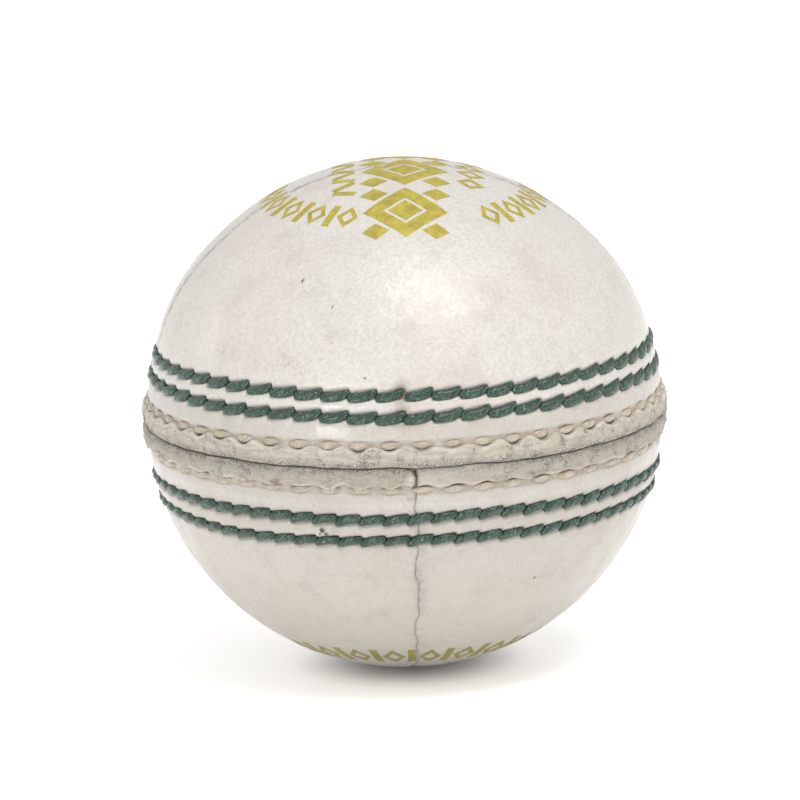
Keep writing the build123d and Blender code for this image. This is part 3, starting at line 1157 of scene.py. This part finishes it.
class BALL_OT_row_threads(bpy.types.Operator):
    """Make the four rows of green stitches"""

    bl_idname = "ball.row_threads"
    bl_label = "Green rows"

    def execute(self, context):
        cover, threads = context.scene.ball_cover, context.scene.ball_threads
        radius = cover.radius / MM
        material = thread_material(
            "Green thread", tuple(threads.colour), (0.009, 0.034, 0.020), (0.14, 0.26, 0.19), 0.34)
        for node, (level, count) in ROWS.items():
            draw = random.Random(node)
            run = math.sqrt(radius**2 - (abs(level) + radius - POLE_HEIGHT) ** 2)
            pitch = 2 * math.pi * run / count
            strand = make_strand(pitch, threads.radius / MM, "row")
            places = []
            for i in range(count):
                theta = FRONT + 2 * math.pi * (i + 0.5) / count
                height = float(row_line(np.array([theta]), node)[0])
                tilt = threads.slant + draw.uniform(-0.05, 0.05)
                lift = draw.uniform(-0.05, 0.06)
                matrix = stitch_matrix(theta, height, lift, tilt, cover)
                size = draw.uniform(0.92, 1.07) * (1.0 if level > 0 else 0.92)
                # The thread was joined at the front, which leaves a gap between two stitches
                joined = node == "upper_outer_row" and i in (0, count - 1)
                away = (0.16 if i == 0 else -0.16) if joined else 0.0
                matrix = matrix @ Matrix.Translation((away, 0, 0))
                length = 0.92 if joined else 1.0
                places.append(matrix @ Matrix.Diagonal((length, size, size, 1.0)))
            piece = lay_stitches(node + "_thread", strand, places)
            piece.data.materials.append(material)
            finish_piece(piece, "green_thread", node + "_stitches")
        return {"FINISHED"}


class BALL_OT_closing_threads(bpy.types.Operator):
    """Make the cream stitches that close the main seam, beside each lip"""

    bl_idname = "ball.closing_threads"
    bl_label = "Closing stitches"

    def execute(self, context):
        cover, threads = context.scene.ball_cover, context.scene.ball_threads
        dark, light = (0.54, 0.43, 0.31), (0.74, 0.70, 0.62)
        material = thread_material(
            "Cream thread", tuple(threads.closing_colour), dark, light, 0.36)
        for half, level in CLOSING_HEIGHT.items():
            side = math.copysign(1.0, level)
            draw = random.Random(half)
            pitch = 2 * math.pi * 35.85 / CLOSING_COUNT
            strand = make_strand(pitch, threads.closing_radius / MM, "closing")
            places = []
            for i in range(CLOSING_COUNT):
                theta = FRONT + 2 * math.pi * (i + 0.5) / CLOSING_COUNT
                height = level + side * draw.uniform(-0.06, 0.06)
                tilt = math.radians(4.0) + draw.uniform(-0.05, 0.05)
                lift = draw.uniform(-0.12, 0.10)
                matrix = stitch_matrix(theta, height, lift, tilt, cover)
                size = draw.uniform(0.85, 1.08)
                length = draw.uniform(0.9, 1.05)
                places.append(matrix @ Matrix.Diagonal((length, size, size, 1.0)))
            piece = lay_stitches(half + "_closing_thread", strand, places)
            piece.data.materials.append(material)
            finish_piece(piece, "linen_thread", half + "_closing_stitches")
        return {"FINISHED"}


class BALL_OT_core(bpy.types.Operator):
    """Give the core, the linings and the hidden threads their materials"""

    bl_idname = "ball.core"
    bl_label = "Core materials"

    def execute(self, context):
        for node, obj in frame["nodes"].items():
            if not obj.hide_render:
                obj.data.materials.clear()
                obj.data.materials.append(inner_material(node))
        return {"FINISHED"}


def make_floor(size):
    """A pale floor that gives a little light of its own, except right under the ball."""
    nothing_selected()
    below = CAD_BOX[0].z - 0.1 * MM
    bpy.ops.mesh.primitive_plane_add(size=size, location=(0, 0, below))
    floor = bpy.context.object
    floor.name = "floor"
    bpy.ops.object.transform_apply(location=True, rotation=False, scale=False)
    material, nodes, shader = new_material("Pale floor")
    tone = nodes.mix(nodes.noise(nodes.place(), 6.0), (0.93, 0.93, 0.93), (0.95, 0.95, 0.95))
    nodes.put(tone, shader.inputs["Base Color"])
    reach = nodes.add("ShaderNodeVectorMath", operation="LENGTH")
    nodes.put(nodes.place(), reach.inputs[0])
    glow = nodes.ramp(reach.outputs["Value"], 0.0357, 0.0400)
    glow = nodes.mix(glow, (0.03, 0.03, 0.03), (0.40, 0.40, 0.40))
    nodes.put(glow, shader.inputs["Emission Color"])
    shader.inputs["Emission Strength"].default_value = 1.0
    shader.inputs["Roughness"].default_value = 0.7
    shader.inputs["Specular IOR Level"].default_value = 0.2
    floor.data.materials.append(material)


def make_lights():
    for name, place, width, height, power, reflection_only in LIGHTS:
        light = bpy.data.lights.new(name, "AREA")
        light.shape = "RECTANGLE"
        light.size, light.size_y = width, height
        light.energy = power
        obj = bpy.data.objects.new(name, light)
        bpy.context.collection.objects.link(obj)
        obj.location = place
        obj.rotation_euler = (-Vector(place)).to_track_quat("-Z", "Y").to_euler()
        obj.visible_camera = False
        obj.visible_diffuse = not reflection_only
    world = bpy.data.worlds.new("Studio")
    world.use_nodes = True
    background = world.node_tree.nodes["Background"]
    background.inputs["Color"].default_value = (1.0, 1.0, 1.0, 1.0)
    background.inputs["Strength"].default_value = WORLD_STRENGTH
    bpy.context.scene.world = world
    bpy.context.scene.view_settings.view_transform = "Standard"


def make_camera(stage):
    camera = bpy.data.cameras.new("camera")
    camera.sensor_width = 36.0
    camera.lens = camera.sensor_width * stage.distance / stage.frame_width
    camera.clip_start = 0.05
    camera.clip_end = 20.0
    obj = bpy.data.objects.new("camera", camera)
    bpy.context.collection.objects.link(obj)
    back = Vector((0, -math.cos(stage.elevation), math.sin(stage.elevation)))
    up = Vector((0, math.sin(stage.elevation), math.cos(stage.elevation)))
    aim = Vector((CAMERA_SHIFT[0], 0, 0)) + up * CAMERA_SHIFT[1]
    obj.location = aim + back * stage.distance
    look = (-back).to_track_quat("-Z", "Y").to_matrix().to_4x4()
    obj.rotation_euler = (look @ Matrix.Rotation(-stage.roll, 4, "Z")).to_euler()
    bpy.context.scene.camera = obj


class BALL_OT_stage(bpy.types.Operator):
    """Make the floor, the lights and the camera"""

    bl_idname = "ball.stage"
    bl_label = "Stage"

    def execute(self, context):
        stage = context.scene.ball_stage
        make_floor(stage.floor_size)
        make_lights()
        make_camera(stage)
        return {"FINISHED"}


class BALL_PT_panel(bpy.types.Panel):
    """Buttons and settings for the ball"""

    bl_idname = "BALL_PT_panel"
    bl_label = "Cricket ball"
    bl_space_type = "VIEW_3D"
    bl_region_type = "UI"
    bl_category = "Cricket Ball"

    def draw(self, context):
        layout = self.layout
        scene = context.scene
        for group in (scene.ball_cover, scene.ball_threads, scene.ball_stage):
            for name in group.bl_rna.properties.keys():
                if name not in ("rna_type", "name"):
                    layout.prop(group, name)
        for operator in STEPS:
            layout.operator(operator.bl_idname)


STEPS = (
    BALL_OT_cover, BALL_OT_foil, BALL_OT_row_threads, BALL_OT_closing_threads, BALL_OT_core,
    BALL_OT_stage)
CLASSES = (CoverSettings, ThreadSettings, StageSettings, *STEPS, BALL_PT_panel)


def register():
    for cls in CLASSES:
        bpy.utils.register_class(cls)
    bpy.types.Scene.ball_cover = bpy.props.PointerProperty(type=CoverSettings)
    bpy.types.Scene.ball_threads = bpy.props.PointerProperty(type=ThreadSettings)
    bpy.types.Scene.ball_stage = bpy.props.PointerProperty(type=StageSettings)


def unregister():
    del bpy.types.Scene.ball_stage
    del bpy.types.Scene.ball_threads
    del bpy.types.Scene.ball_cover
    for cls in reversed(CLASSES):
        bpy.utils.unregister_class(cls)


def main():
    register()
    bpy.ops.ball.cover()
    bpy.ops.ball.foil()
    bpy.ops.ball.row_threads()
    bpy.ops.ball.closing_threads()
    bpy.ops.ball.core()
    bpy.ops.ball.stage()


if __name__ == "__main__":
    main()
